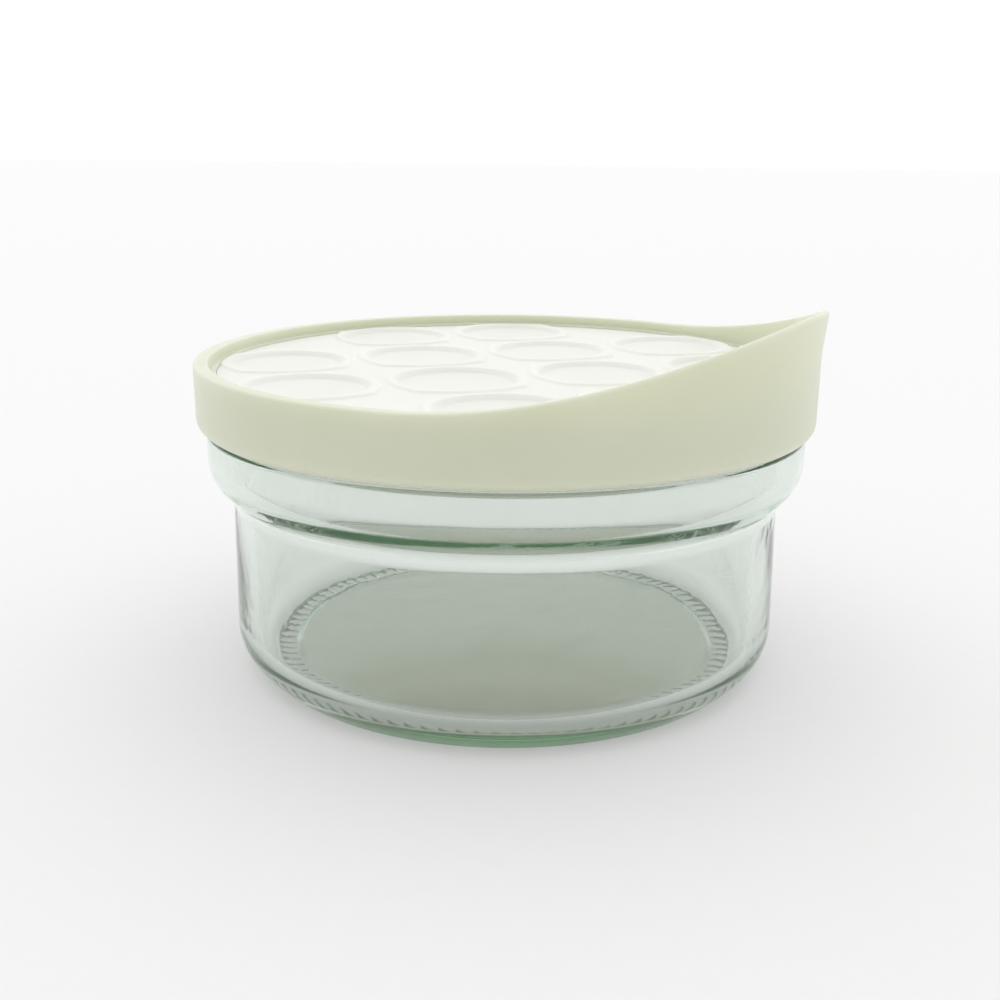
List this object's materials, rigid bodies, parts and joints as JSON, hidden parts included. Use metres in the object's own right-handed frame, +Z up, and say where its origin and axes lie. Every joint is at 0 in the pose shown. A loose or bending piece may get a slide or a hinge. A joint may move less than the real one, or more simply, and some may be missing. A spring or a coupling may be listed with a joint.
{
  "type": "sourdough starter jar",
  "caption": "Low wide glass jar with a press-on plastic lid, whose raised rim sweeps up into a pointed pull tab round a panel of dished cells.",
  "frame": {"origin": "on the jar's axis, in the plane it stands on", "axes": "+Z up along the jar's axis, +X from the axis towards the tip of the lid's pull tab"},
  "size_m": [0.0949, 0.0942, 0.0567],
  "materials": {
    "green_glass": "clear, faint green tint",
    "cream_plastic": "semi-gloss",
    "ivory_plastic": "satin",
    "seal_rubber": "translucent silicone"
  },
  "bodies": {
    "jar": {"glass_jar": "green_glass"},
    "lid": {"lid_shell": "cream_plastic", "lid_panel": "ivory_plastic", "seal_ring": "seal_rubber"}
  },
  "joints": [
    {"name": "lid_lift", "type": "slide", "parent": "jar", "child": "lid", "axis": [0, 0, 1], "range_m": [0, 0.06]}
  ]
}
